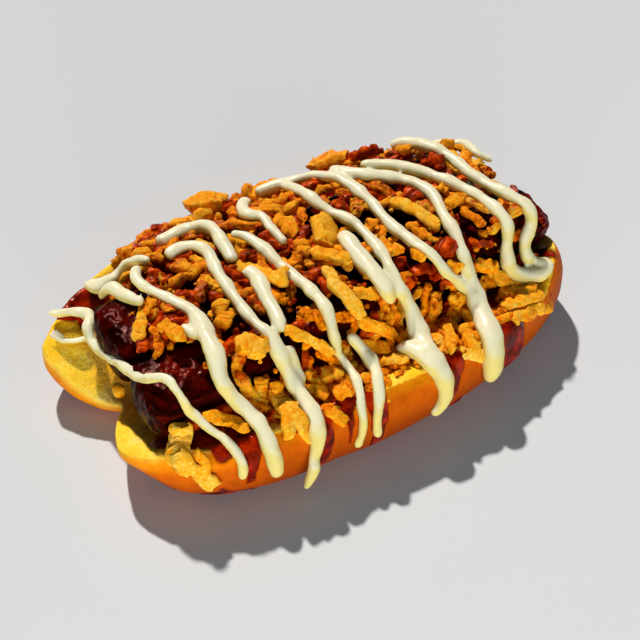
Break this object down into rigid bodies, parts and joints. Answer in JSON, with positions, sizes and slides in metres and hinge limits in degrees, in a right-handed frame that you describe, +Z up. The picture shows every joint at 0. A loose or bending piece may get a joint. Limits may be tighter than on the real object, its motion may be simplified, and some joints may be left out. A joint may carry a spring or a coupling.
{
  "type": "loaded hot dog",
  "caption": "Hot dog in an opened bun: a split sausage side by side under crisp fried onions, barbecue sauce and a mayonnaise zigzag.",
  "frame": {"origin": "on the table under the middle of the bun's hinge", "axes": "+X along the bun towards the tapered end, +Y across to the back lobe, +Z up"},
  "size_m": [0.168, 0.1042, 0.0464],
  "materials": {
    "crust": "glossy golden-brown baked crust with a soft yellow crumb where it is open",
    "crumb": "soft open crumb, matte",
    "sausage": "dark grilled sausage with a wet barbecue glaze",
    "fried_onion": "crisp golden breaded onion",
    "mayonnaise": "smooth creamy strands with a soft sheen",
    "sauce": "thin red-brown barbecue sauce, wet"
  },
  "bodies": {
    "root": {"bun": "crust", "sausage_half_back": "sausage", "sausage_half_front": "sausage", "toppings": "fried_onion"}
  },
  "joints": []
}
